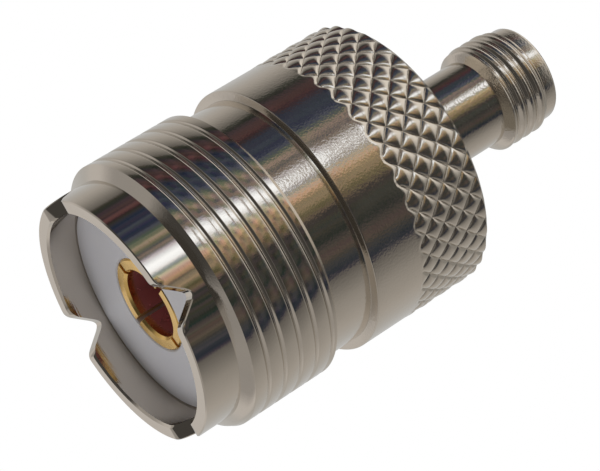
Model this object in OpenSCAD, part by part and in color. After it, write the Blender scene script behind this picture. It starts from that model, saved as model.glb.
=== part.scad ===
// Adapter that joins a large threaded coaxial socket to a small threaded jack.
// It stands on the rim of the large socket: Z = 0 is the rim, +Z runs along the
// turned axis to the small jack, and the four rim notches lie on X and Y.

/* [Large socket] */
// Diameter over the crests of the large thread
thread_d = 15.88; // [15.6:0.01:16.2]
// Length of the large thread
thread_len = 6.25; // [4:0.05:9]
// Length of the bevel at each end of the large thread
thread_bevel = 0.4; // [0.1:0.05:0.8]
// Diameter of the plain collar in front of the large thread
collar_d = 14.4; // [14:0.05:15.2]
// Length of the plain collar
collar_len = 2.25; // [2:0.05:4]
// Diameter of the bore behind the rim, which holds the insulator
socket_d = 12.7; // [12.2:0.05:13.2]
// Bevel round the mouth of that bore
mouth_bevel = 0.25; // [0.1:0.05:0.4]
// Depth of the insulator's face behind the rim
face_depth = 1.85; // [1.6:0.05:3]
// Number of notches in the rim
notch_count = 4; // [2:1:8]
// Width of a rim notch at the rim
notch_w = 2.5; // [1.5:0.1:3]
// Depth of a rim notch from the rim to its floor
notch_depth = 1.4; // [1:0.05:1.55]
// Width of the flat floor between a notch's two slanting sides
notch_floor_w = 0.3; // [0.1:0.05:0.8]

/* [Body] */
// Diameter of the relief behind the large thread
relief_d = 14.8; // [14.4:0.05:15.4]
// Length of the relief
relief_len = 2.4; // [1:0.1:5]
// Diameter of the smooth band behind the shoulder
band_d = 15.9; // [15.6:0.05:18]
// Length of the smooth band
band_len = 3.05; // [1:0.05:6]
// Bevel on the shoulder's edge
band_bevel = 0.12; // [0.05:0.01:0.3]
// Length of the knurl
knurl_len = 4.85; // [3:0.05:8]
// Diameter over the tips of the knurl
knurl_d = 16; // [15.8:0.05:18]
// Depth of the knurl from tip to groove
knurl_depth = 0.15; // [0.1:0.01:0.4]
// Number of knurl lines that slant one way
knurl_lines = 36; // [24:1:48]
// Length of the bevel behind the knurl
rear_bevel = 0.2; // [0.1:0.05:0.6]

/* [Small jack] */
// Diameter over the crests of the small thread
jack_d = 6.35; // [6.2:0.01:6.6]
// Length of the small thread
jack_thread_len = 2.95; // [2:0.05:6]
// Diameter of the plain lip at the tip
lip_d = 5.8; // [5.4:0.05:6.1]
// Length of the plain lip
lip_len = 0.8; // [0.4:0.05:1.5]
// Bevel on the lip's edge
lip_bevel = 0.15; // [0.05:0.05:0.3]
// Diameter of the plain neck
neck_d = 5.15; // [5:0.05:5.6]
// Length of the neck behind the body
neck_len = 6.15; // [4:0.05:10]
// Diameter of the shank that is pressed into the body
shank_d = 7.4; // [7:0.1:9]
// Length of the shank
shank_len = 5.8; // [4:0.1:7]
// Diameter of the recess in the jack's tip
recess_d = 4.6; // [4.4:0.05:4.8]
// Depth of the recess in the jack's tip
recess_depth = 1.9; // [1.5:0.1:2.5]

/* [Insulators] */
// Length of the large insulator
large_insulator_len = 7.7; // [7.6:0.1:9]
// Diameter of the small insulator
small_insulator_d = 4.1; // [3.8:0.05:4.3]

/* [Contacts] */
// Outer diameter of the large contact
contact_d = 5.5; // [5.2:0.1:6.4]
// Bore of the large contact
contact_bore_d = 4; // [3.8:0.05:4.2]
// Depth of that bore
contact_bore_len = 6.3; // [4:0.1:6.4]
// Thickness of the floor behind that bore
contact_floor = 0.75; // [0.5:0.05:1]
// Bevel round the mouth of that bore
contact_bevel = 0.3; // [0.1:0.05:0.5]
// Number of slots in the large contact
contact_slots = 4; // [2:2:6]
// Width of a slot in the large contact
contact_slot_w = 0.3; // [0.2:0.05:0.6]
// Length of a slot in the large contact
contact_slot_len = 5; // [3:0.1:5.5]
// Turn of the slots away from the rim notches, in degrees
contact_turn = -15; // [-45:1:45]
// Diameter of the tail behind the large contact
tail_d = 2; // [1.8:0.05:2.4]
// Length of the tail that stands out behind the large insulator
tail_reach = 2.05; // [1.5:0.05:3]
// Diameter of the small contact
pin_d = 1.27; // [1.2:0.01:1.4]
// Bore of the small contact
pin_bore_d = 0.94; // [0.9:0.01:1]
// Depth of that bore
pin_bore_len = 2.6; // [2:0.1:4]
// Width of the two slots in the small contact
pin_slot_w = 0.2; // [0.15:0.01:0.25]
// Length of the small contact's slots
pin_slot_len = 2.2; // [1:0.1:2.6]
// Length of the small contact that is held in the large contact's tail
pin_grip = 2; // [1:0.1:2.4]

/* [Fits] */
// Gap all round between a piece and the bore that holds it
fit_gap = 0.02; // [0.01:0.01:0.04]

/* [Hidden] */
$fn = 96;
thread_z = collar_len;
relief_z = thread_z + thread_len;
shoulder_z = relief_z + relief_len;
knurl_z = shoulder_z + band_len;
rear_z = knurl_z + knurl_len;
jack_thread_z = rear_z + neck_len;
lip_z = jack_thread_z + jack_thread_len;
tip_z = lip_z + lip_len;

// Faces inside: the seat of the large insulator, the inner end of the shank,
// the face of the small insulator, and the steps of the two contacts
seat_z = face_depth + large_insulator_len;
shank_z = rear_z - shank_len;
jack_face_z = tip_z - recess_depth;
contact_end_z = face_depth + contact_bore_len + contact_floor;
tail_end_z = seat_z + tail_reach;
grip_z = tail_end_z - pin_grip;

// What a cut reaches past the face that it opens
over = 1;

// The knurl's grid: crests and groove crossings alternate round each ring, and
// the rings stand as far apart as the crests, so the lines slant at 45 degrees
knurl_columns = 2 * knurl_lines;
knurl_crest_r = knurl_d / 2;
knurl_root_r = knurl_crest_r - knurl_depth;
knurl_core_r = knurl_root_r - knurl_depth / 2;
// Start of the knurl's grid inside the band, and its end before the rear bevel
knurl_lead = 0.2;
knurl_start = knurl_z - knurl_lead;
knurl_end = rear_z - rear_bevel;
knurl_rings = round((knurl_end - knurl_start) * knurl_columns / (PI * knurl_d));

brass_plated = [0.72, 0.70, 0.67];
fluoroplastic = [0.93, 0.93, 0.94];
gold_plated = [0.86, 0.66, 0.28];

// Solid or bore of diameter d from height low to height high
module turned(d, low, high) {
    translate([0, 0, low]) cylinder(d = d, h = high - low);
}

// Cone between the diameters d_low and d_high
module tapered(d_low, d_high, low, high) {
    translate([0, 0, low]) cylinder(d1 = d_low, d2 = d_high, h = high - low);
}

// Tube with a bore of diameter bore_d
module sleeve(d, bore_d, low, high) {
    difference() {
        turned(d, low, high);
        turned(bore_d, low - over, high + over);
    }
}

// Outside of the body from the rim to the back, ahead of the knurl
module body_blank() {
    rotate_extrude()
        polygon([
            [0, 0],
            [collar_d / 2, 0],
            [collar_d / 2, thread_z],
            [thread_d / 2, thread_z + thread_bevel],
            [thread_d / 2, relief_z - thread_bevel],
            [relief_d / 2, relief_z],
            [relief_d / 2, shoulder_z],
            [band_d / 2 - band_bevel, shoulder_z],
            [band_d / 2, shoulder_z + band_bevel],
            [band_d / 2, knurl_z],
            [knurl_core_r, knurl_z],
            [knurl_core_r, rear_z - rear_bevel / 2],
            [knurl_core_r - rear_bevel / 2, rear_z],
            [0, rear_z]
        ]);
}

// Diamond knurl: a drum whose rings alternate crests with groove crossings.
// Each four-sided cell is folded along the groove that crosses it.
module knurl() {
    function ring_r(i, j) =
        j == 0 || j == knurl_rings || (i + j) % 2 == 1 ? knurl_root_r : knurl_crest_r;
    function ring_z(j) = knurl_start + (knurl_end - knurl_start) * j / knurl_rings;
    function turn(i) = 360 * i / knurl_columns;
    function at(i, j) = j * knurl_columns + i % knurl_columns;
    rings = [
        for (j = [0:knurl_rings], i = [0:knurl_columns - 1])
            [ring_r(i, j) * cos(turn(i)), ring_r(i, j) * sin(turn(i)), ring_z(j)]
    ];
    folds = [
        for (j = [0:knurl_rings - 1], i = [0:knurl_columns - 1])
            each (i + j) % 2 == 0
                ? [[at(i, j), at(i, j + 1), at(i + 1, j)],
                   [at(i + 1, j), at(i, j + 1), at(i + 1, j + 1)]]
                : [[at(i, j), at(i + 1, j + 1), at(i + 1, j)],
                   [at(i, j), at(i, j + 1), at(i + 1, j + 1)]]
    ];
    low_cap = [for (i = [0:knurl_columns - 1]) at(i, 0)];
    high_cap = [for (i = [knurl_columns - 1:-1:0]) at(i, knurl_rings)];
    polyhedron(rings, concat(folds, [low_cap, high_cap]));
}

// Notches with slanting sides and a narrow floor, sunk into the rim
module rim_notches() {
    floor_x = notch_floor_w / 2;
    mouth_x = floor_x + (notch_w / 2 - floor_x) * (notch_depth + over) / notch_depth;
    for (i = [0:notch_count - 1])
        rotate([0, 0, 360 * i / notch_count])
            rotate([90, 0, 90])
                linear_extrude(height = collar_d)
                    polygon([
                        [-mouth_x, -over],
                        [mouth_x, -over],
                        [floor_x, notch_depth],
                        [-floor_x, notch_depth]
                    ]);
}

// Main body, turned from brass bar: notched rim, thread blank, relief,
// shoulder, smooth band and knurl, bored from both ends
module body_shell() {
    mouth_d = socket_d + 2 * mouth_bevel;
    color(brass_plated)
        difference() {
            union() {
                body_blank();
                knurl();
            }
            turned(socket_d, -over, seat_z);
            tapered(mouth_d + 2 * over, socket_d, -over, mouth_bevel);
            turned(small_insulator_d + 2 * fit_gap, seat_z - over, shank_z + over);
            turned(shank_d + 2 * fit_gap, shank_z, rear_z + over);
            rim_notches();
        }
}

// Small jack, turned from brass: shank in the body, neck, thread blank and lip
module jack_shell() {
    bore_d = small_insulator_d + 2 * fit_gap;
    neck_step = (jack_d - neck_d) / 2;
    lip_step = (jack_d - lip_d) / 2;
    color(brass_plated)
        difference() {
            rotate_extrude()
                polygon([
                    [0, shank_z],
                    [shank_d / 2, shank_z],
                    [shank_d / 2, rear_z],
                    [neck_d / 2, rear_z],
                    [neck_d / 2, jack_thread_z],
                    [jack_d / 2, jack_thread_z + neck_step],
                    [jack_d / 2, lip_z - lip_step],
                    [lip_d / 2, lip_z],
                    [lip_d / 2, tip_z - lip_bevel],
                    [lip_d / 2 - lip_bevel, tip_z],
                    [0, tip_z]
                ]);
            turned(bore_d, shank_z - over, tip_z + over);
            turned(recess_d, jack_face_z, tip_z + over);
        }
}

// Large insulator: a disc that fills the socket and holds the large contact
module large_insulator() {
    color(fluoroplastic)
        difference() {
            turned(socket_d - 2 * fit_gap, face_depth, seat_z);
            turned(contact_d + 2 * fit_gap, face_depth - over, contact_end_z);
            turned(tail_d + 2 * fit_gap, face_depth, seat_z + over);
        }
}

// Small insulator: a rod from the large insulator through the body and the jack
module small_insulator() {
    color(fluoroplastic)
        difference() {
            turned(small_insulator_d, seat_z, jack_face_z);
            turned(tail_d + 2 * fit_gap, seat_z - over, tail_end_z);
            turned(pin_d + 2 * fit_gap, seat_z, jack_face_z + over);
        }
}

// Slots across a contact: each cut passes through both walls
module contact_cuts(count, d, slot_w, low, high) {
    for (i = [0:count / 2 - 1])
        rotate([0, 0, 360 * i / count])
            translate([-d, -slot_w / 2, low]) cube([2 * d, slot_w, high - low]);
}

// Large contact: a slotted socket with a hollow tail
module large_contact() {
    bore_end = face_depth + contact_bore_len;
    mouth_d = contact_bore_d + 2 * contact_bevel;
    color(gold_plated)
        difference() {
            union() {
                turned(contact_d, face_depth, contact_end_z);
                turned(tail_d, contact_end_z - contact_floor / 2, tail_end_z);
            }
            turned(contact_bore_d, face_depth - over, bore_end);
            tapered(mouth_d + 2 * over, contact_bore_d,
                    face_depth - over, face_depth + contact_bevel);
            turned(pin_d + 2 * fit_gap, grip_z, tail_end_z + over);
            rotate([0, 0, contact_turn])
                contact_cuts(contact_slots, contact_d, contact_slot_w,
                             face_depth - over, face_depth + contact_slot_len);
        }
}

// Small contact: a rod held in the large contact's tail, bored and slotted at the tip
module small_contact() {
    color(gold_plated)
        difference() {
            turned(pin_d, grip_z, jack_face_z);
            turned(pin_bore_d, jack_face_z - pin_bore_len, jack_face_z + over);
            contact_cuts(2, pin_d, pin_slot_w, jack_face_z - pin_slot_len, jack_face_z + over);
        }
}

body_shell();
jack_shell();
large_insulator();
small_insulator();
large_contact();
small_contact();
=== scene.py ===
import bmesh
import bpy
import math
import random
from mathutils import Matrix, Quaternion, Vector


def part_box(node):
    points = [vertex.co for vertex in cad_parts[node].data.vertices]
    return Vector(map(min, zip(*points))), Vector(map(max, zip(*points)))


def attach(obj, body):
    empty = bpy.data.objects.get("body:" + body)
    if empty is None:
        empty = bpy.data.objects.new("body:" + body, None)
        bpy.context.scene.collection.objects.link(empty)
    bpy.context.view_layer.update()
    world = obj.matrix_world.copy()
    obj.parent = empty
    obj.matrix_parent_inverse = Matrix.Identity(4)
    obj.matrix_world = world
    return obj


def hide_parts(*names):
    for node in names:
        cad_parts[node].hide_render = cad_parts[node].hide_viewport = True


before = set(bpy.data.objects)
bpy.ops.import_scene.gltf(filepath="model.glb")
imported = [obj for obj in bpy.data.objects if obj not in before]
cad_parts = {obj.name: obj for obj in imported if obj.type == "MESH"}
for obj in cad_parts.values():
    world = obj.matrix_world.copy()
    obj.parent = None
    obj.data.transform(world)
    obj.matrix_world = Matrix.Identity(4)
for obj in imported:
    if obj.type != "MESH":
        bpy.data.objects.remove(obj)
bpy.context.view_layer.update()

# Body shell
# The main body is turned from one brass bar and plated with bright nickel. Its rim is
# milled with four notches, its thread is cut, and its grip is rolled with a diamond knurl.
MM = 0.001
INCH = 25.4
body_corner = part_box("body_shell")[1]
rear_z = body_corner.z / MM
knurl_tip_r = body_corner.x / MM

knurl_lines = 36
columns_in_half_line = 6
body_columns = 2 * knurl_lines * columns_in_half_line

collar_r = 7.2
collar_end_z = 2.25
collar_hold = 0.05
rim_edge = 0.06
socket_r = 6.35
mouth_bevel = 0.12
notch_count = 4
notch_half_w = 1.25
notch_floor_half_w = 0.15
notch_depth = 1.4
notch_corner = 0.3
notch_floor_ease = 0.03
notch_flank_ease = 0.08
notch_easing_z = 2.0
easing_shares = (1.0, 0.7, 0.4, 0.15)
least_foot_round = 0.05
foot_steps = 5
flank_steps = 8
corner_steps = 4

crest_r = 7.94
thread_end_z = 8.5
thread_bevel = 0.4
thread_pitch = INCH / 24
groove_half_w = 0.19
groove_depth = 0.11
groove_rows = 6
bevel_rows = 5

relief_r = 7.4
root_round = 0.05
root_middle = 0.015
root_hold = 0.07
thread_hold = 0.04
shoulder_z = 10.9
shoulder_round = 0.07
shoulder_hold = 0.03
round_steps = 4
band_r = 7.95
band_steps = 4
knurl_z = 13.95
knurl_hold = 0.02
knurl_depth = 0.15
knurl_rings = 7
pillow_drop = 0.10
groove_drop = 0.05
groove_edge = 0.8
knurl_run_out = 0.3
diamond_lean = 0.02
diamond_sink = 0.01
rear_bevel = 0.2
rear_rim = 0.1

seat_z = 9.55
core_bore_r = 2.07
shank_bore_r = 3.72
shank_bore_edge = 0.05
shank_z = 13.0


def turn_point(radius, angle, z):
    """Point of a turned surface, in metres."""
    return (radius * math.cos(angle) * MM, radius * math.sin(angle) * MM, z * MM)


def plain_ring(radius, z, columns):
    """One ring of a turned surface."""
    return [turn_point(radius, math.tau * i / columns, z) for i in range(columns)]


def plain_rings(steps, columns):
    """Rings through the (radius, z) steps of a turned profile."""
    return [plain_ring(radius, z, columns) for radius, z in steps]


def spread(low, high, count):
    """Values from low to high, both kept."""
    return [low + (high - low) * k / count for k in range(count + 1)]


def bend(start, corner, end, count):
    """Points of a curve that rounds a corner, without its first point."""
    points = []
    for k in range(1, count + 1):
        t = k / count
        a = (1 - t) * (1 - t)
        b = 2 * t * (1 - t)
        c = t * t
        points.append(tuple(a * p + b * q + c * r for p, q, r in zip(start, corner, end)))
    return points


def notch_outline(floor_half, mouth_half, depth, corner, top_z):
    """Half outline of a notch, from the middle of its floor to its rounded corner: (across, z)."""
    slant = (mouth_half - floor_half) / depth
    foot_z = depth - max(corner, least_foot_round)
    head_z = top_z + corner
    foot = (floor_half + slant * (depth - foot_z), foot_z)
    head = (floor_half + slant * (depth - head_z), head_z)
    points = [(0.0, depth)]
    points += bend(points[0], (floor_half, depth), foot, foot_steps)
    for k in range(1, flank_steps + 1):
        share = k / flank_steps
        points.append((foot[0] + (head[0] - foot[0]) * share, foot[1] + (head[1] - foot[1]) * share))
    points += bend(head, (mouth_half, top_z), (mouth_half + corner, top_z), corner_steps)
    return points


def notched_place(i, columns, notches, radius, outline):
    """Place of column i on the notched edge of a tube: (angle, z)."""
    in_part = columns // notches
    part = (i + in_part // 2) // in_part
    k = i - part * in_part
    last = len(outline) - 1
    if abs(k) <= last:
        across, z = outline[abs(k)]
        angle = math.asin(across / radius)
    else:
        start = math.asin(outline[last][0] / radius)
        along = (abs(k) - last) / (in_part / 2 - last)
        angle = start + along * (math.pi / notches - start)
        z = outline[last][1]
    return math.tau * part / notches + math.copysign(angle, k), z


def notched_ring(radius, columns, notches, outline):
    """Ring that follows the notched edge of a tube."""
    places = [notched_place(i, columns, notches, radius, outline) for i in range(columns)]
    return [turn_point(radius, angle, z) for angle, z in places]


def easing_ring(radius, columns, notches, outline, plain_z, share):
    """Ring between the notched edge (share 0) and a plain ring at plain_z (share 1)."""
    ring = []
    for i in range(columns):
        angle, z = notched_place(i, columns, notches, radius, outline)
        plain_angle = math.tau * i / columns
        if plain_angle - angle > math.pi:
            plain_angle -= math.tau
        ring.append(turn_point(radius, angle + share * (plain_angle - angle), z + share * (plain_z - z)))
    return ring


def groove_at(z, angle, pitch, half_w, depth):
    """Depth of a right-hand thread's groove at a point; its lips and floor are rounded."""
    phase = (z / pitch - angle / math.tau) % 1.0
    off = abs(phase - 0.5) * pitch / half_w
    return depth * (0.5 + 0.5 * math.cos(math.pi * off)) if off < 1 else 0.0


def bevel_ring(z, limit_r, columns, crest, thread):
    """Ring at the end of a thread, where its groove runs out on a bevel of radius limit_r."""
    ring = []
    for i in range(columns):
        angle = math.tau * i / columns
        ring.append(turn_point(min(limit_r, crest - groove_at(z, angle, *thread)), angle, z))
    return ring


def thread_end(end_z, end_r, bevel, shares, columns, crest, thread):
    """Rings over the bevel at a thread's end, from the plain end (share 0) to the crest (share 1)."""
    rings = []
    for share in shares:
        limit_r = end_r + (crest - end_r) * share
        rings.append(bevel_ring(end_z + bevel * share, limit_r, columns, crest, thread))
    return rings


def thread_sheet(low_z, high_z, columns, crest, thread):
    """Thread between two heights, with rows that climb along it: (points, faces)."""
    pitch, half_w, depth = thread
    groove_rises = [half_w * k / groove_rows for k in range(-groove_rows, groove_rows + 1)]
    rises = [0.0] + [0.5 * pitch + rise for rise in groove_rises]
    turns = range(math.floor(low_z / pitch) - 1, math.ceil(high_z / pitch) + 1)
    starts = [turn * pitch + rise for turn in turns for rise in rises]
    points = []
    for start in starts:
        for i in range(columns):
            angle = math.tau * i / columns
            z = max(low_z, min(high_z, start + pitch * i / columns))
            points.append(turn_point(crest - groove_at(z, angle, *thread), angle, z))
    faces = []
    for j in range(len(starts) - 1):
        for i in range(columns):
            here = j * columns + i
            there = here + 1
            if i == columns - 1:
                there = (j + len(rises)) * columns
            if there + columns < len(points):
                faces.append((here, there, there + columns, here + columns))
    return points, faces


knurl_end_z = rear_z - rear_bevel
knurl_rows = knurl_rings * columns_in_half_line
knurl_random = random.Random(7)
diamond_tilt = {}


def knurl_ring(row):
    """Ring of the diamond knurl: rounded diamonds, each a little askew, between crossing grooves."""
    z = knurl_z + (knurl_end_z - knurl_z) * row / knurl_rows
    up = knurl_rings * row / knurl_rows
    run = min(1.0, (z - knurl_z) / knurl_run_out)
    tip = band_r + run * (knurl_tip_r - band_r)
    ring = []
    for i in range(body_columns):
        along = i / columns_in_half_line
        line_a = round((along + up) / 2)
        line_b = round((along - up) / 2)
        off_a = (along + up) - 2 * line_a
        off_b = (along - up) - 2 * line_b
        diamond = ((line_a + line_b) % (2 * knurl_lines), line_a - line_b)
        if diamond not in diamond_tilt:
            diamond_tilt[diamond] = [knurl_random.uniform(-diamond_lean, diamond_lean) for k in range(3)]
        lean_a, lean_b, sunk = diamond_tilt[diamond]
        edge = max(abs(off_a), abs(off_b))
        round_edge = min(1.0, (abs(off_a) ** 3 + abs(off_b) ** 3) ** (1 / 3))
        askew = (lean_a * off_a + lean_b * off_b + sunk * 0.5 - diamond_sink) * (1 - edge)
        in_groove = max(0.0, (edge - groove_edge) / (1 - groove_edge))
        drop = pillow_drop * round_edge * round_edge + groove_drop * in_groove * in_groove - askew
        ring.append(turn_point(tip - run * drop, math.tau * i / body_columns, z))
    return ring


large_thread = (body_columns, crest_r, (thread_pitch, groove_half_w, groove_depth))
front_bevel = thread_end(collar_end_z, collar_r, thread_bevel, spread(1, 0, bevel_rows), *large_thread)
back_bevel = thread_end(thread_end_z, relief_r, -thread_bevel, spread(0, 1, bevel_rows), *large_thread)

notch_sides = (notch_floor_half_w, notch_half_w)
rim_face_edge = notch_outline(*notch_sides, notch_depth, notch_corner, 0.0)
rim_mouth_edge = notch_outline(*notch_sides, notch_depth, notch_corner, mouth_bevel)
rim_outer_edge = notch_outline(
    notch_floor_half_w + notch_floor_ease, notch_half_w + notch_flank_ease,
    notch_depth + rim_edge, notch_corner, rim_edge)
rim = (body_columns, notch_count)
body_rings = front_bevel + plain_rings([(collar_r, collar_end_z - collar_hold)], body_columns)
for share in easing_shares:
    body_rings += [easing_ring(collar_r, *rim, rim_outer_edge, notch_easing_z, share)]
body_rings += [notched_ring(collar_r, *rim, rim_outer_edge)]
body_rings += [notched_ring(collar_r - rim_edge, *rim, rim_face_edge)]
body_rings += [notched_ring(socket_r + mouth_bevel, *rim, rim_face_edge)]
body_rings += [notched_ring(socket_r, *rim, rim_mouth_edge)]
for share in reversed(easing_shares):
    body_rings += [easing_ring(socket_r, *rim, rim_mouth_edge, notch_easing_z, share)]
body_rings += plain_rings([
    (socket_r, seat_z), (core_bore_r, seat_z), (core_bore_r, shank_z), (shank_bore_r, shank_z),
    (shank_bore_r, rear_z - shank_bore_edge), (shank_bore_r + shank_bore_edge, rear_z),
    (knurl_tip_r - knurl_depth - rear_rim, rear_z),
], body_columns)
knurl_first = len(body_rings)
body_rings += [knurl_ring(row) for row in range(knurl_rows, -1, -1)]
round_end_z = shoulder_z + shoulder_round
band_heights = spread(knurl_z - knurl_hold, round_end_z + shoulder_hold, band_steps)
body_rings += plain_rings([(band_r, z) for z in band_heights], body_columns)
shoulder_end = (band_r - shoulder_round, shoulder_z)
shoulder_edge = bend((band_r, round_end_z), (band_r, shoulder_z), shoulder_end, round_steps)
body_rings += plain_rings(shoulder_edge, body_columns)
body_rings += plain_rings([
    (relief_r + root_round, shoulder_z), (relief_r + root_middle, shoulder_z - root_middle),
    (relief_r, shoulder_z - root_round), (relief_r, shoulder_z - root_hold),
    (relief_r, thread_end_z + root_hold), (relief_r, thread_end_z + thread_hold),
], body_columns)
body_rings += back_bevel


def knurl_fold(j, i):
    """Way that a cell is folded: along the nearest groove of the knurl, or 0 off the knurl."""
    row = knurl_first + knurl_rows - j
    if not 0 < row <= knurl_rows:
        return 0
    along = (i + 0.5) / columns_in_half_line
    up = (row - 0.5) / columns_in_half_line
    from_a = abs((along + up) % 2 - 1)
    from_b = abs((along - up) % 2 - 1)
    return 1 if from_a < from_b else -1


weld_distance = 1e-7
crease_angle = math.radians(38)


def turned_mesh(name, rings, ends, fold=None, sheet=None):
    """Piece made of rings joined one to the next. Its ends are joined, capped, or met by a sheet."""
    columns = len(rings[0])
    points = [p for ring in rings for p in ring]
    faces = []
    for j in range(len(rings) if ends == "joined" else len(rings) - 1):
        here = j * columns
        there = (j + 1) % len(rings) * columns
        for i in range(columns):
            k = (i + 1) % columns
            way = fold(j, i) if fold else 0
            if way == 0:
                faces.append((here + i, there + i, there + k, here + k))
            elif way > 0:
                faces.append((here + i, there + i, there + k))
                faces.append((here + i, there + k, here + k))
            else:
                faces.append((here + i, there + i, here + k))
                faces.append((there + i, there + k, here + k))
    if ends == "capped":
        faces.append(tuple(range(columns)))
        faces.append(tuple(range(len(points) - columns, len(points))))
    if ends == "sheet":
        faces += [tuple(len(points) + k for k in face) for face in sheet[1]]
        points += sheet[0]
    mesh = bpy.data.meshes.new(name)
    mesh.from_pydata(points, [], faces)
    work = bmesh.new()
    work.from_mesh(mesh)
    bmesh.ops.remove_doubles(work, verts=work.verts, dist=weld_distance)
    bmesh.ops.recalc_face_normals(work, faces=work.faces)
    work.to_mesh(mesh)
    work.free()
    mesh.shade_smooth()
    mesh.set_sharp_from_angle(angle=crease_angle)
    piece = bpy.data.objects.new(name, mesh)
    bpy.context.scene.collection.objects.link(piece)
    return piece


thread = thread_sheet(collar_end_z + thread_bevel, thread_end_z - thread_bevel, *large_thread)
body = turned_mesh("body_skin", body_rings, "sheet", knurl_fold, thread)

nickel_dark = (0.64, 0.59, 0.52, 1)
nickel_pale = (0.68, 0.63, 0.56, 1)
wear_grains = (900, 900, 900)
turning_grains = (250, 250, 12000)
turning_depth = 0.000002
pit_grains = (8000, 8000, 8000)
pit_depth = 0.000006
body_gloss = [
    (0, 0.06), (2.2, 0.06), (2.4, 0.09), (8.2, 0.09), (8.6, 0.11), (10.8, 0.11),
    (11.0, 0.12), (13.9, 0.12), (14.2, 0.17), (18.8, 0.17),
]
body_pits = [
    (0, 0.1), (2.2, 0.1), (2.4, 0.3), (8.2, 0.3), (8.6, 0.7), (10.8, 0.7),
    (11.0, 1.0), (13.9, 1.0), (14.2, 0.3), (18.8, 0.3),
]


def new_material(name):
    """New node material: (material, nodes, links, shader)."""
    material = bpy.data.materials.new(name)
    material.use_nodes = True
    nodes = material.node_tree.nodes
    return material, nodes, material.node_tree.links, nodes["Principled BSDF"]


def grain(nodes, links, stretch, detail):
    """Noise over the piece, with its own number of grains to the metre along X, Y and Z."""
    place = nodes.new("ShaderNodeTexCoord")
    scale = nodes.new("ShaderNodeMapping")
    scale.inputs["Scale"].default_value = stretch
    links.new(place.outputs["Object"], scale.inputs["Vector"])
    noise = nodes.new("ShaderNodeTexNoise")
    noise.inputs["Scale"].default_value = 1.0
    noise.inputs["Detail"].default_value = detail
    links.new(scale.outputs["Vector"], noise.inputs["Vector"])
    return noise.outputs["Fac"]


def span(nodes, links, value, low, high, to_low, to_high):
    """Maps a value from one range to another, and keeps it within."""
    node = nodes.new("ShaderNodeMapRange")
    node.inputs["From Min"].default_value = low
    node.inputs["From Max"].default_value = high
    node.inputs["To Min"].default_value = to_low
    node.inputs["To Max"].default_value = to_high
    links.new(value, node.inputs["Value"])
    return node.outputs["Result"]


def mix_colours(nodes, links, factor, first, second):
    """Mixes two colours, each a socket or a colour."""
    node = nodes.new("ShaderNodeMix")
    node.data_type = "RGBA"
    links.new(factor, node.inputs["Factor"])
    for name, value in (("A", first), ("B", second)):
        if isinstance(value, tuple):
            node.inputs[name].default_value = value
        else:
            links.new(value, node.inputs[name])
    return node.outputs["Result"]


def relief(nodes, links, height, depth, under=None):
    """Bump of the given depth in metres, laid over another normal where there is one."""
    node = nodes.new("ShaderNodeBump")
    node.inputs["Strength"].default_value = 1.0
    node.inputs["Distance"].default_value = depth
    links.new(height, node.inputs["Height"])
    if under is not None:
        links.new(under, node.inputs["Normal"])
    return node.outputs["Normal"]


def ramp(nodes, links, value, stops):
    """Colour ramp node that goes by a value, through the (place, colour) stops."""
    node = nodes.new("ShaderNodeValToRGB")
    elements = node.color_ramp.elements
    while len(elements) < len(stops):
        elements.new(0.5)
    for element, (place, colour) in zip(elements, stops):
        element.position = place
        element.color = colour
    links.new(value, node.inputs["Fac"])
    return node


def by_height(nodes, links, top_z, stops):
    """Value that goes by height, through the (millimetre, value) stops."""
    place = nodes.new("ShaderNodeTexCoord")
    split = nodes.new("ShaderNodeSeparateXYZ")
    links.new(place.outputs["Object"], split.inputs["Vector"])
    rise = span(nodes, links, split.outputs["Z"], 0, top_z * MM, 0, 1)
    grey_stops = [(z / top_z, (value, value, value, 1)) for z, value in stops]
    return ramp(nodes, links, rise, grey_stops).outputs["Color"]


def combine(nodes, links, operation, first, second):
    """Sum or product of two values."""
    node = nodes.new("ShaderNodeMath")
    node.operation = operation
    links.new(first, node.inputs[0])
    links.new(second, node.inputs[1])
    return node.outputs["Value"]


def nickel_plate(name, top_z, gloss_stops, pit_stops):
    """Bright nickel: turning marks, clouds of wear, and pits whose depth and gloss go by height."""
    material, nodes, links, shader = new_material(name)
    shader.inputs["Metallic"].default_value = 1.0
    wear = grain(nodes, links, wear_grains, 4.0)
    links.new(mix_colours(nodes, links, wear, nickel_dark, nickel_pale), shader.inputs["Base Color"])
    turning_marks = relief(nodes, links, grain(nodes, links, turning_grains, 2.0), turning_depth)
    pit_share = by_height(nodes, links, top_z, pit_stops)
    pits = combine(nodes, links, "MULTIPLY", grain(nodes, links, pit_grains, 1.0), pit_share)
    links.new(relief(nodes, links, pits, pit_depth, turning_marks), shader.inputs["Normal"])
    rubbed = span(nodes, links, wear, 0.35, 0.7, -0.02, 0.03)
    gloss = combine(nodes, links, "ADD", by_height(nodes, links, top_z, gloss_stops), rubbed)
    links.new(gloss, shader.inputs["Roughness"])
    return material


body.data.materials.append(nickel_plate("bright_nickel", rear_z, body_gloss, body_pits))
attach(body, "root")
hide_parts("body_shell")

# Small jack shell
# The slim jack is a second brass turning with the same nickel plate. Its shank is pressed
# into the body, and its neck ends in a fine cut thread and a plain lip.
tip_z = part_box("jack_shell")[1].z / MM
jack_columns = 192
shank_r = 3.7
neck_r = 2.575
neck_foot_round = 0.15
neck_foot_steps = 3
neck_foot_hold = 0.3
neck_hold = 0.03
neck_steps = 3
jack_crest_r = 3.175
jack_thread_z = 24.95
jack_pitch = INCH / 36
jack_groove_half_w = 0.31
jack_groove_depth = 0.19
jack_bevel = 0.3
lip_z = 27.9
lip_r = 2.9
lip_hold = 0.03
lip_round = 0.15
recess_r = 2.3
recess_edge = 0.08
recess_edge_middle = 0.02
recess_floor_z = tip_z - 1.9

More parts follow.
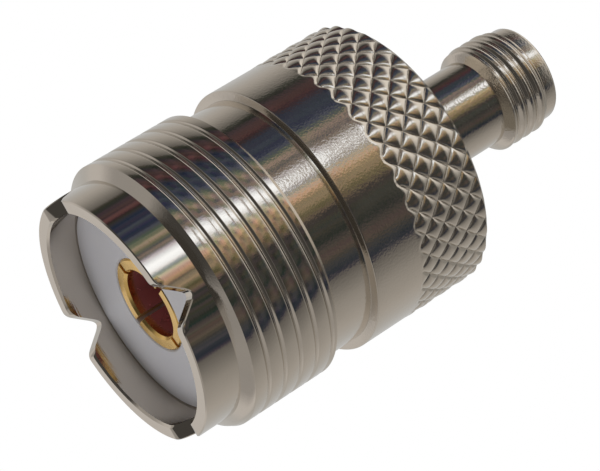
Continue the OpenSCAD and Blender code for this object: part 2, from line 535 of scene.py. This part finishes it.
small_thread = (jack_columns, jack_crest_r, (jack_pitch, jack_groove_half_w, jack_groove_depth))
jack_front_bevel = thread_end(lip_z, lip_r, -jack_bevel, spread(1, 0, bevel_rows), *small_thread)
jack_back_bevel = thread_end(jack_thread_z, neck_r, jack_bevel, spread(0, 1, bevel_rows), *small_thread)
lip_start = (lip_r, tip_z - lip_round)
lip_edge = bend(lip_start, (lip_r, tip_z), (lip_r - lip_round, tip_z), round_steps)
lip_steps = [(lip_r, lip_z + lip_hold), lip_start] + lip_edge
jack_rings = jack_front_bevel + plain_rings(lip_steps, jack_columns)
jack_rings += plain_rings([
    (recess_r + recess_edge, tip_z), (recess_r + recess_edge_middle, tip_z - recess_edge_middle),
    (recess_r, tip_z - recess_edge), (recess_r, recess_floor_z), (core_bore_r, recess_floor_z),
    (core_bore_r, shank_z), (shank_r, shank_z), (shank_r, rear_z),
], jack_columns)
foot_start = (neck_r + neck_foot_round, rear_z)
neck_foot = bend(foot_start, (neck_r, rear_z), (neck_r, rear_z + neck_foot_round), neck_foot_steps)
jack_rings += plain_rings([foot_start] + neck_foot, jack_columns)
neck_heights = spread(rear_z + neck_foot_hold, jack_thread_z - neck_hold, neck_steps)
jack_rings += plain_rings([(neck_r, z) for z in neck_heights], jack_columns)
jack_rings += jack_back_bevel
thread = thread_sheet(jack_thread_z + jack_bevel, lip_z - jack_bevel, *small_thread)
jack = turned_mesh("jack_skin", jack_rings, "sheet", None, thread)

jack_gloss = [(0, 0.1), (24.8, 0.1), (25.2, 0.14), (tip_z, 0.14)]
jack_pits = [(0, 1.0), (tip_z, 1.0)]
jack.data.materials.append(nickel_plate("jack_nickel", tip_z, jack_gloss, jack_pits))
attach(jack, "root")
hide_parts("jack_shell")

# Insulators
# Both are white fluoroplastic, turned from rod and pressed in place: a deep disc behind the
# large socket's rim, and a rod through the body whose end shows in the jack's tip.
insulator_columns = 128
face_z = 1.85
insulator_r = 6.33
insulator_edge = 0.08
contact_hole_r = 2.77
contact_hole_end_z = 8.9
tail_hole_r = 1.02
tail_hole_end_z = 11.6
rod_r = 2.05
pin_hole_r = 0.655
pin_hole_edge = 0.04
insulator_grey = (0.78, 0.78, 0.84, 1)
insulator_white = (0.86, 0.86, 0.90, 1)
cloud_grains = (350, 350, 350)
skin_grains = (3000, 3000, 3000)
skin_depth = 0.000006

white, nodes, links, shader = new_material("fluoroplastic")
shader.inputs["Subsurface Weight"].default_value = 0.2
shader.inputs["Subsurface Radius"].default_value = (0.0005, 0.00045, 0.0004)
shader.inputs["Subsurface Scale"].default_value = 1.0
cloud = grain(nodes, links, cloud_grains, 3.0)
links.new(mix_colours(nodes, links, cloud, insulator_grey, insulator_white), shader.inputs["Base Color"])
links.new(span(nodes, links, cloud, 0.3, 0.7, 0.38, 0.52), shader.inputs["Roughness"])
skin = relief(nodes, links, grain(nodes, links, skin_grains, 3.0), skin_depth)
links.new(skin, shader.inputs["Normal"])

disc = turned_mesh("large_insulator_disc", plain_rings([
    (contact_hole_r, contact_hole_end_z), (contact_hole_r, face_z + insulator_edge),
    (contact_hole_r + insulator_edge, face_z), (insulator_r - insulator_edge, face_z),
    (insulator_r, face_z + insulator_edge), (insulator_r, seat_z),
    (tail_hole_r, seat_z), (tail_hole_r, contact_hole_end_z),
], insulator_columns), "joined")
disc.data.materials.append(white)
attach(disc, "root")
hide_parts("large_insulator")

rod = turned_mesh("small_insulator_rod", plain_rings([
    (tail_hole_r, seat_z), (rod_r, seat_z), (rod_r, recess_floor_z - insulator_edge),
    (rod_r - insulator_edge, recess_floor_z), (pin_hole_r + pin_hole_edge, recess_floor_z),
    (pin_hole_r, recess_floor_z - pin_hole_edge), (pin_hole_r, tail_hole_end_z),
    (tail_hole_r, tail_hole_end_z),
], insulator_columns), "joined")
rod.data.materials.append(white)
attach(rod, "root")
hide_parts("small_insulator")

# Contacts
# Both are turned from a springy copper alloy, slotted at the mouth to grip a pin, and plated
# with gold. Down the large bore the gold is painted a dull copper-red, as painted shade for
# the deep recess. The large one sits in its insulator, and the small one is held in its tail.
contact_columns = 208
contact_r = 2.75
contact_bore_r = 2.0
contact_bevel = 0.14
contact_edge = 0.08
contact_slots = 4
contact_slot_half_w = 0.15
contact_slot_len = 5.0
contact_slot_ease = 0.6
contact_turn = math.radians(-15)
contact_bore_len = 8.15 - face_z
contact_len = contact_hole_end_z - face_z
tail_r = 1.0
tail_len = tail_hole_end_z - face_z
grip_z = 9.6
grip_gap = 0.02
slot_corner = 0.02
slot_shares = (1.0, 0.6, 0.25)
axis_r = 0.02
pin_columns = 96
pin_r = 0.635
pin_bore_r = 0.47
pin_bore_len = 2.6
pin_slots = 2
pin_slot_half_w = 0.1
pin_slot_len = 2.2
pin_slot_ease = 0.2
pin_edge = 0.05
gold_dark = (0.88, 0.56, 0.16, 1)
gold_pale = (0.93, 0.66, 0.26, 1)
gold_wear_grains = (1500, 1500, 1500)
gold_turning_grains = (400, 400, 9000)
gold_turning_depth = 0.000004
# Painted shade: a dull copper-red, less metallic, down the large bore, where it lies deep in shade.
bore_shade_colour = (0.74, 0.34, 0.345, 1)
gold_end_z = face_z + 0.35
bore_shade_z = face_z + 0.6
gold_least_r = 2.3
bore_shade_most_r = 2.1
bore_shade_metallic = 0.55

gold, nodes, links, shader = new_material("gold_plate")
place = nodes.new("ShaderNodeTexCoord")
split = nodes.new("ShaderNodeSeparateXYZ")
links.new(place.outputs["Object"], split.inputs["Vector"])
flat = nodes.new("ShaderNodeVectorMath")
flat.operation = "MULTIPLY"
links.new(place.outputs["Object"], flat.inputs[0])
flat.inputs[1].default_value = (1, 1, 0)
from_axis = nodes.new("ShaderNodeVectorMath")
from_axis.operation = "LENGTH"
links.new(flat.outputs["Vector"], from_axis.inputs[0])
# Mask of the painted shade: below the mouth, inside the bore, and short of the tail.
past_mouth = span(nodes, links, split.outputs["Z"], gold_end_z * MM, bore_shade_z * MM, 0, 1)
before_tail = span(nodes, links, split.outputs["Z"], contact_hole_end_z * MM, grip_z * MM, 1, 0)
in_bore = span(nodes, links, from_axis.outputs["Value"], gold_least_r * MM, bore_shade_most_r * MM, 0, 1)
down_bore = combine(nodes, links, "MULTIPLY", past_mouth, before_tail)
painted_bore_shade = combine(nodes, links, "MULTIPLY", down_bore, in_bore)
wear = grain(nodes, links, gold_wear_grains, 3.0)
plate = mix_colours(nodes, links, wear, gold_dark, gold_pale)
links.new(mix_colours(nodes, links, painted_bore_shade, plate, bore_shade_colour), shader.inputs["Base Color"])
links.new(span(nodes, links, painted_bore_shade, 0, 1, 1, bore_shade_metallic), shader.inputs["Metallic"])
links.new(span(nodes, links, wear, 0.3, 0.7, 0.16, 0.30), shader.inputs["Roughness"])
turning_marks = relief(nodes, links, grain(nodes, links, gold_turning_grains, 2.0), gold_turning_depth)
links.new(turning_marks, shader.inputs["Normal"])


def slotted_mouth(columns, slots, half_w, outer_r, bore_r, slot_len, ease, outer_edge, bore_edge):
    """Rings over a slotted mouth at height 0, from the outside to the bore."""
    outside = notch_outline(half_w, half_w, slot_len, slot_corner, outer_edge)
    face = notch_outline(half_w, half_w, slot_len, slot_corner, 0.0)
    inside = notch_outline(half_w, half_w, slot_len, slot_corner, bore_edge)
    shape = (columns, slots)
    rings = [easing_ring(outer_r, *shape, outside, slot_len + ease, s) for s in slot_shares]
    rings += [notched_ring(outer_r, *shape, outside)]
    rings += [notched_ring(outer_r - outer_edge, *shape, face)]
    rings += [notched_ring(bore_r + bore_edge, *shape, face)]
    rings += [notched_ring(bore_r, *shape, inside)]
    rings += [easing_ring(bore_r, *shape, inside, slot_len + ease, s) for s in reversed(slot_shares)]
    return rings


grip_r = pin_r + grip_gap
grip_len = grip_z - face_z
contact_rings = plain_rings([
    (axis_r, grip_len), (grip_r, grip_len), (grip_r, tail_len), (tail_r, tail_len),
    (tail_r, contact_len), (contact_r, contact_len),
], contact_columns)
contact_rings += slotted_mouth(
    contact_columns, contact_slots, contact_slot_half_w, contact_r, contact_bore_r,
    contact_slot_len, contact_slot_ease, contact_edge, contact_bevel)
contact_rings += plain_rings([
    (contact_bore_r, contact_bore_len), (axis_r, contact_bore_len),
], contact_columns)
contact = turned_mesh("large_contact_socket", contact_rings, "capped")
for vertex in contact.data.vertices:
    x, y, z = vertex.co
    vertex.co = (x * math.cos(contact_turn) - y * math.sin(contact_turn),
                 x * math.sin(contact_turn) + y * math.cos(contact_turn), z + face_z * MM)
contact.data.materials.append(gold)
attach(contact, "root")
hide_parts("large_contact")

pin_len = recess_floor_z - grip_z
pin_rings = plain_rings([(axis_r, pin_len), (pin_r, pin_len)], pin_columns)
pin_rings += slotted_mouth(
    pin_columns, pin_slots, pin_slot_half_w, pin_r, pin_bore_r,
    pin_slot_len, pin_slot_ease, pin_edge, pin_edge)
pin_rings += plain_rings([(pin_bore_r, pin_bore_len), (axis_r, pin_bore_len)], pin_columns)
pin = turned_mesh("small_contact_pin", pin_rings, "capped")
for vertex in pin.data.vertices:
    x, y, z = vertex.co
    vertex.co = (x, -y, recess_floor_z * MM - z)
pin.data.materials.append(gold)
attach(pin, "root")
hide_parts("small_contact")

# Floor
# A pale sheet that the part stands on, fading to white away from it. It keeps the part's
# shadow, and shows only from above, because the photograph looks at the rim from below it.
floor_reach = 1.5
fade_start = 0.02
fade_end = 0.2
floor_corners = [(-1, -1), (1, -1), (1, 1), (-1, 1)]
floor_mesh = bpy.data.meshes.new("floor")
floor_points = [(x * floor_reach, y * floor_reach, 0) for x, y in floor_corners]
floor_mesh.from_pydata(floor_points, [], [(0, 1, 2, 3)])
floor = bpy.data.objects.new("floor", floor_mesh)
bpy.context.scene.collection.objects.link(floor)
paper, nodes, links, shader = new_material("floor_paper")
shader.inputs["Base Color"].default_value = (0.85, 0.85, 0.85, 1)
shader.inputs["Roughness"].default_value = 0.9
shader.inputs["Emission Color"].default_value = (1, 1, 1, 1)
shader.inputs["Emission Strength"].default_value = 0.45
place = nodes.new("ShaderNodeTexCoord")
from_part = nodes.new("ShaderNodeVectorMath")
from_part.operation = "LENGTH"
links.new(place.outputs["Object"], from_part.inputs[0])
white_glow = nodes.new("ShaderNodeEmission")
fading = nodes.new("ShaderNodeMixShader")
whiter = span(nodes, links, from_part.outputs["Value"], fade_start, fade_end, 0, 1)
links.new(whiter, fading.inputs["Fac"])
links.new(shader.outputs["BSDF"], fading.inputs[1])
links.new(white_glow.outputs["Emission"], fading.inputs[2])
clear = nodes.new("ShaderNodeBsdfTransparent")
side = nodes.new("ShaderNodeNewGeometry")
one_sided = nodes.new("ShaderNodeMixShader")
links.new(side.outputs["Backfacing"], one_sided.inputs["Fac"])
links.new(fading.outputs["Shader"], one_sided.inputs[1])
links.new(clear.outputs["BSDF"], one_sided.inputs[2])
links.new(one_sided.outputs["Shader"], nodes["Material Output"].inputs["Surface"])
floor.data.materials.append(paper)
floor.visible_diffuse = False
floor.visible_glossy = False
floor.visible_transmission = False
floor.visible_shadow = False

# Surroundings
# White behind the part. What the metal mirrors is pale card round the back and both sides, a
# table below with a lit edge, and a dim room with warm walls on the side that the camera
# stands. The room has one window, with a bar across it.
camera_azimuth = -95.55
card = (1.0, 0.95, 0.89)
far_card = (1.0, 1.0, 0.99)
window = (0.97, 1.03, 1.12)
wall = (1.0, 0.87, 0.72)
wood = (1.0, 0.76, 0.48)
shade = (1.0, 0.97, 0.93)
cool_shade = (0.75, 0.96, 1.38)
red_shade = (1.0, 0.52, 0.55)
room_bands = [
    (-90, 0.60, far_card, 0), (-75, 0.56, far_card, 0), (-65, 0.50, card, 0), (-60, 0.40, card, 0),
    (-55, 0.25, card, 0), (-52, 0.17, card, 0), (-50.5, 0.04, shade, 1), (-47, 0.04, shade, 1),
    (-43, 0.10, red_shade, 1), (-40, 0.08, red_shade, 1), (-37, 0.055, cool_shade, 1),
    (-32, 0.06, cool_shade, 1), (-27, 0.10, cool_shade, 1), (-23, 0.27, wall, 1), (-17.5, 0.20, wall, 1),
    (-15, 1.0, window, 0), (-13, 1.55, window, 0), (-11, 1.4, window, 0), (-8.5, 0.55, card, 1),
    (-5, 0.50, wood, 1), (0, 0.34, wood, 1), (3, 0.20, wood, 1), (6, 0.06, shade, 1),
    (17, 0.055, shade, 1), (23, 0.085, wall, 1), (29, 0.04, cool_shade, 1), (31.5, 0.04, cool_shade, 1),
    (33, 0.16, card, 0), (45, 0.37, card, 0), (60, 0.50, card, 0), (75, 0.56, far_card, 0),
    (90, 0.60, far_card, 0),
]
clutter_rise = 0.3
clutter_gain = (3.4, 3.4, 3.4)
clutter_shift = (-0.7, -0.7, -0.7)
clutter_least = (0.25, 0.25, 0.25)
window_bar = (0.36, 0.31, 0.27, 1)
bar_foot = (0.425, 0.445)
bar_head = (0.48, 0.49)
bar_left = (-0.58, -0.52)
bar_right = (-0.27, -0.24)
table_bands = [(0, 0.45), (0.15, 0.5), (0.28, 0.65), (0.42, 0.65), (0.56, 0.4), (1, 0.34)]
table = (1.0, 0.96, 0.93)
table_top = (-0.12, -0.33)
table_side = (0.42, 0.40, 0.38, 1)
table_shadow = (0.07, 0.067, 0.063, 1)
table_edge = (0.52, 0.495, 0.46, 1)
edge_top = (-0.26, -0.38)
edge_foot = (-0.44, -0.56)
edge_left = (-1.2, -0.9)
edge_right = (-0.25, 0.05)
dim_edge = 0.3
underneath_start = (-0.82, -0.9)
room_azimuth = camera_azimuth - 18
room_start = (0.04, 0.14)
shadow_azimuth = camera_azimuth - 50
shadow_start = (-0.24, -0.12)
far_azimuth = camera_azimuth + 180
far_start = (0.2, 0.6)
ceiling = (0.98, 0.94, 0.89, 1)
ceiling_shade = (0.32, 0.31, 0.29, 1)
ceiling_start = (0.56, 0.72)
lit_ceiling_start = (-0.25, 0.45)
zenith = (0.10, 0.10, 0.10, 1)
zenith_start = (0.91, 0.97)
clean_white = (1, 1, 1, 1)

world = bpy.data.worlds.new("surroundings")
bpy.context.scene.world = world
world.use_nodes = True
nodes = world.node_tree.nodes
links = world.node_tree.links
place = nodes.new("ShaderNodeTexCoord")
split = nodes.new("ShaderNodeSeparateXYZ")
links.new(place.outputs["Generated"], split.inputs["Vector"])
up = split.outputs["Z"]
compass = nodes.new("ShaderNodeMath")
compass.operation = "ARCTAN2"
links.new(split.outputs["Y"], compass.inputs[0])
links.new(split.outputs["X"], compass.inputs[1])
from_camera = nodes.new("ShaderNodeMath")
from_camera.operation = "SUBTRACT"
links.new(compass.outputs["Value"], from_camera.inputs[0])
from_camera.inputs[1].default_value = math.radians(camera_azimuth)
around = nodes.new("ShaderNodeMath")
around.operation = "WRAP"
links.new(from_camera.outputs["Value"], around.inputs[0])
around.inputs[1].default_value = math.pi
around.inputs[2].default_value = -math.pi
turn = around.outputs["Value"]


def world_mix(factor, first, second):
    """Mixes two colours of the surroundings."""
    return mix_colours(nodes, links, factor, first, second)


def between(value, rise, fall, outside=0):
    """1 between two soft edges of a value, and the outside value past them."""
    start = span(nodes, links, value, *rise, outside, 1)
    return combine(nodes, links, "MULTIPLY", start, span(nodes, links, value, *fall, 1, outside))


def towards(degrees):
    """How far a direction points towards a compass direction."""
    node = nodes.new("ShaderNodeVectorMath")
    node.operation = "DOT_PRODUCT"
    links.new(place.outputs["Generated"], node.inputs[0])
    node.inputs[1].default_value = (math.cos(math.radians(degrees)), math.sin(math.radians(degrees)), 0)
    return node.outputs["Value"]


room_stops = []
for half_turn, light, (red, green, blue), clutter_share in room_bands:
    colour = (light * red, light * green, light * blue, clutter_share)
    room_stops.append(((half_turn + 90) / 180, colour))
bands = ramp(nodes, links, span(nodes, links, turn, -math.pi, math.pi, 0, 1), room_stops)
clutter_place = nodes.new("ShaderNodeCombineXYZ")
links.new(turn, clutter_place.inputs["X"])
links.new(span(nodes, links, up, -1, 1, -clutter_rise, clutter_rise), clutter_place.inputs["Y"])
clutter = nodes.new("ShaderNodeTexNoise")
clutter.inputs["Scale"].default_value = 13.0
clutter.inputs["Detail"].default_value = 2.0
links.new(clutter_place.outputs["Vector"], clutter.inputs["Vector"])
dull = nodes.new("ShaderNodeMix")
dull.data_type = "RGBA"
dull.inputs["Factor"].default_value = 0.7
links.new(clutter.outputs["Color"], dull.inputs["A"])
links.new(clutter.outputs["Fac"], dull.inputs["B"])
uneven = nodes.new("ShaderNodeVectorMath")
uneven.operation = "MULTIPLY_ADD"
links.new(dull.outputs["Result"], uneven.inputs[0])
uneven.inputs[1].default_value = clutter_gain
uneven.inputs[2].default_value = clutter_shift
kept = nodes.new("ShaderNodeVectorMath")
kept.operation = "MAXIMUM"
links.new(uneven.outputs["Vector"], kept.inputs[0])
kept.inputs[1].default_value = clutter_least
cluttered = nodes.new("ShaderNodeVectorMath")
cluttered.operation = "MULTIPLY"
links.new(bands.outputs["Color"], cluttered.inputs[0])
links.new(world_mix(bands.outputs["Alpha"], clean_white, kept.outputs["Vector"]), cluttered.inputs[1])
bar_rise = between(up, bar_foot, bar_head)
bar_width = between(turn, bar_left, bar_right)
bar = combine(nodes, links, "MULTIPLY", bar_rise, bar_width)
barred = world_mix(bar, cluttered.outputs["Vector"], window_bar)

table_stops = []
for depth, light in table_bands:
    table_stops.append((depth, (light * table[0], light * table[1], light * table[2], 1)))
table_light = ramp(nodes, links, span(nodes, links, up, 0, -1, 0, 1), table_stops).outputs["Color"]
room_side = span(nodes, links, towards(room_azimuth), *room_start, 0, 1)
shadow_side = span(nodes, links, towards(shadow_azimuth), *shadow_start, 0, 1)
far_side = span(nodes, links, towards(far_azimuth), *far_start, 0, 1)
far_or_side = world_mix(far_side, table_side, table_light)
lit_edge = between(turn, edge_left, edge_right, dim_edge)
edge = combine(nodes, links, "MULTIPLY", between(up, edge_top, edge_foot), lit_edge)
slopes_down = world_mix(room_side, far_or_side, world_mix(edge, table_shadow, table_edge))
straight_down = world_mix(shadow_side, table_light, table_shadow)
underneath = span(nodes, links, up, *underneath_start, 0, 1)
below = span(nodes, links, up, *table_top, 0, 1)
room = world_mix(below, barred, world_mix(underneath, slopes_down, straight_down))
lit_ceiling = span(nodes, links, towards(shadow_azimuth), *lit_ceiling_start, 0, 1)
above = span(nodes, links, up, *ceiling_start, 0, 1)
room = world_mix(above, room, world_mix(lit_ceiling, ceiling_shade, ceiling))
room = world_mix(span(nodes, links, up, *zenith_start, 0, 1), room, zenith)
path = nodes.new("ShaderNodeLightPath")
seen = world_mix(path.outputs["Is Camera Ray"], room, clean_white)
links.new(seen, nodes["Background"].inputs["Color"])

# Soft lamp
# A small panel below the socket lifts the insulator's face and the painted shade in the
# contact's bore. The metal doesn't mirror it.
panel_data = bpy.data.lights.new("soft_panel", "AREA")
panel_data.size = 0.12
panel_data.energy = 0.045
panel = bpy.data.objects.new("soft_panel", panel_data)
bpy.context.scene.collection.objects.link(panel)
panel.location = (0.03, 0.06, -0.12)
panel.rotation_mode = "QUATERNION"
panel.rotation_quaternion = (-panel.location).to_track_quat("-Z", "Y")
panel.visible_glossy = False
panel.visible_camera = False

# Camera
# It looks at the large end through a long lens from below the rim, rolled so that the part
# leans to the right.
camera_elevation = -25.04
camera_distance = 129.02
camera_roll = 57.94
camera_aim = Vector((1.122, -0.109, 11.426))
camera_data = bpy.data.cameras.new("camera")
camera_data.lens = 143.07
camera_data.sensor_width = 36
camera_data.clip_start = 0.01
camera_data.clip_end = 10
camera = bpy.data.objects.new("camera", camera_data)
bpy.context.scene.collection.objects.link(camera)
azimuth = math.radians(camera_azimuth)
elevation = math.radians(camera_elevation)
level = math.cos(elevation)
sight = Vector((math.cos(azimuth) * level, math.sin(azimuth) * level, math.sin(elevation)))
camera.location = (camera_aim + sight * camera_distance) * MM
camera.rotation_mode = "QUATERNION"
level_view = (-sight).to_track_quat("-Z", "Y")
camera.rotation_quaternion = level_view @ Quaternion((0, 0, 1), math.radians(camera_roll))
bpy.context.scene.camera = camera
bpy.context.scene.view_settings.view_transform = "Standard"
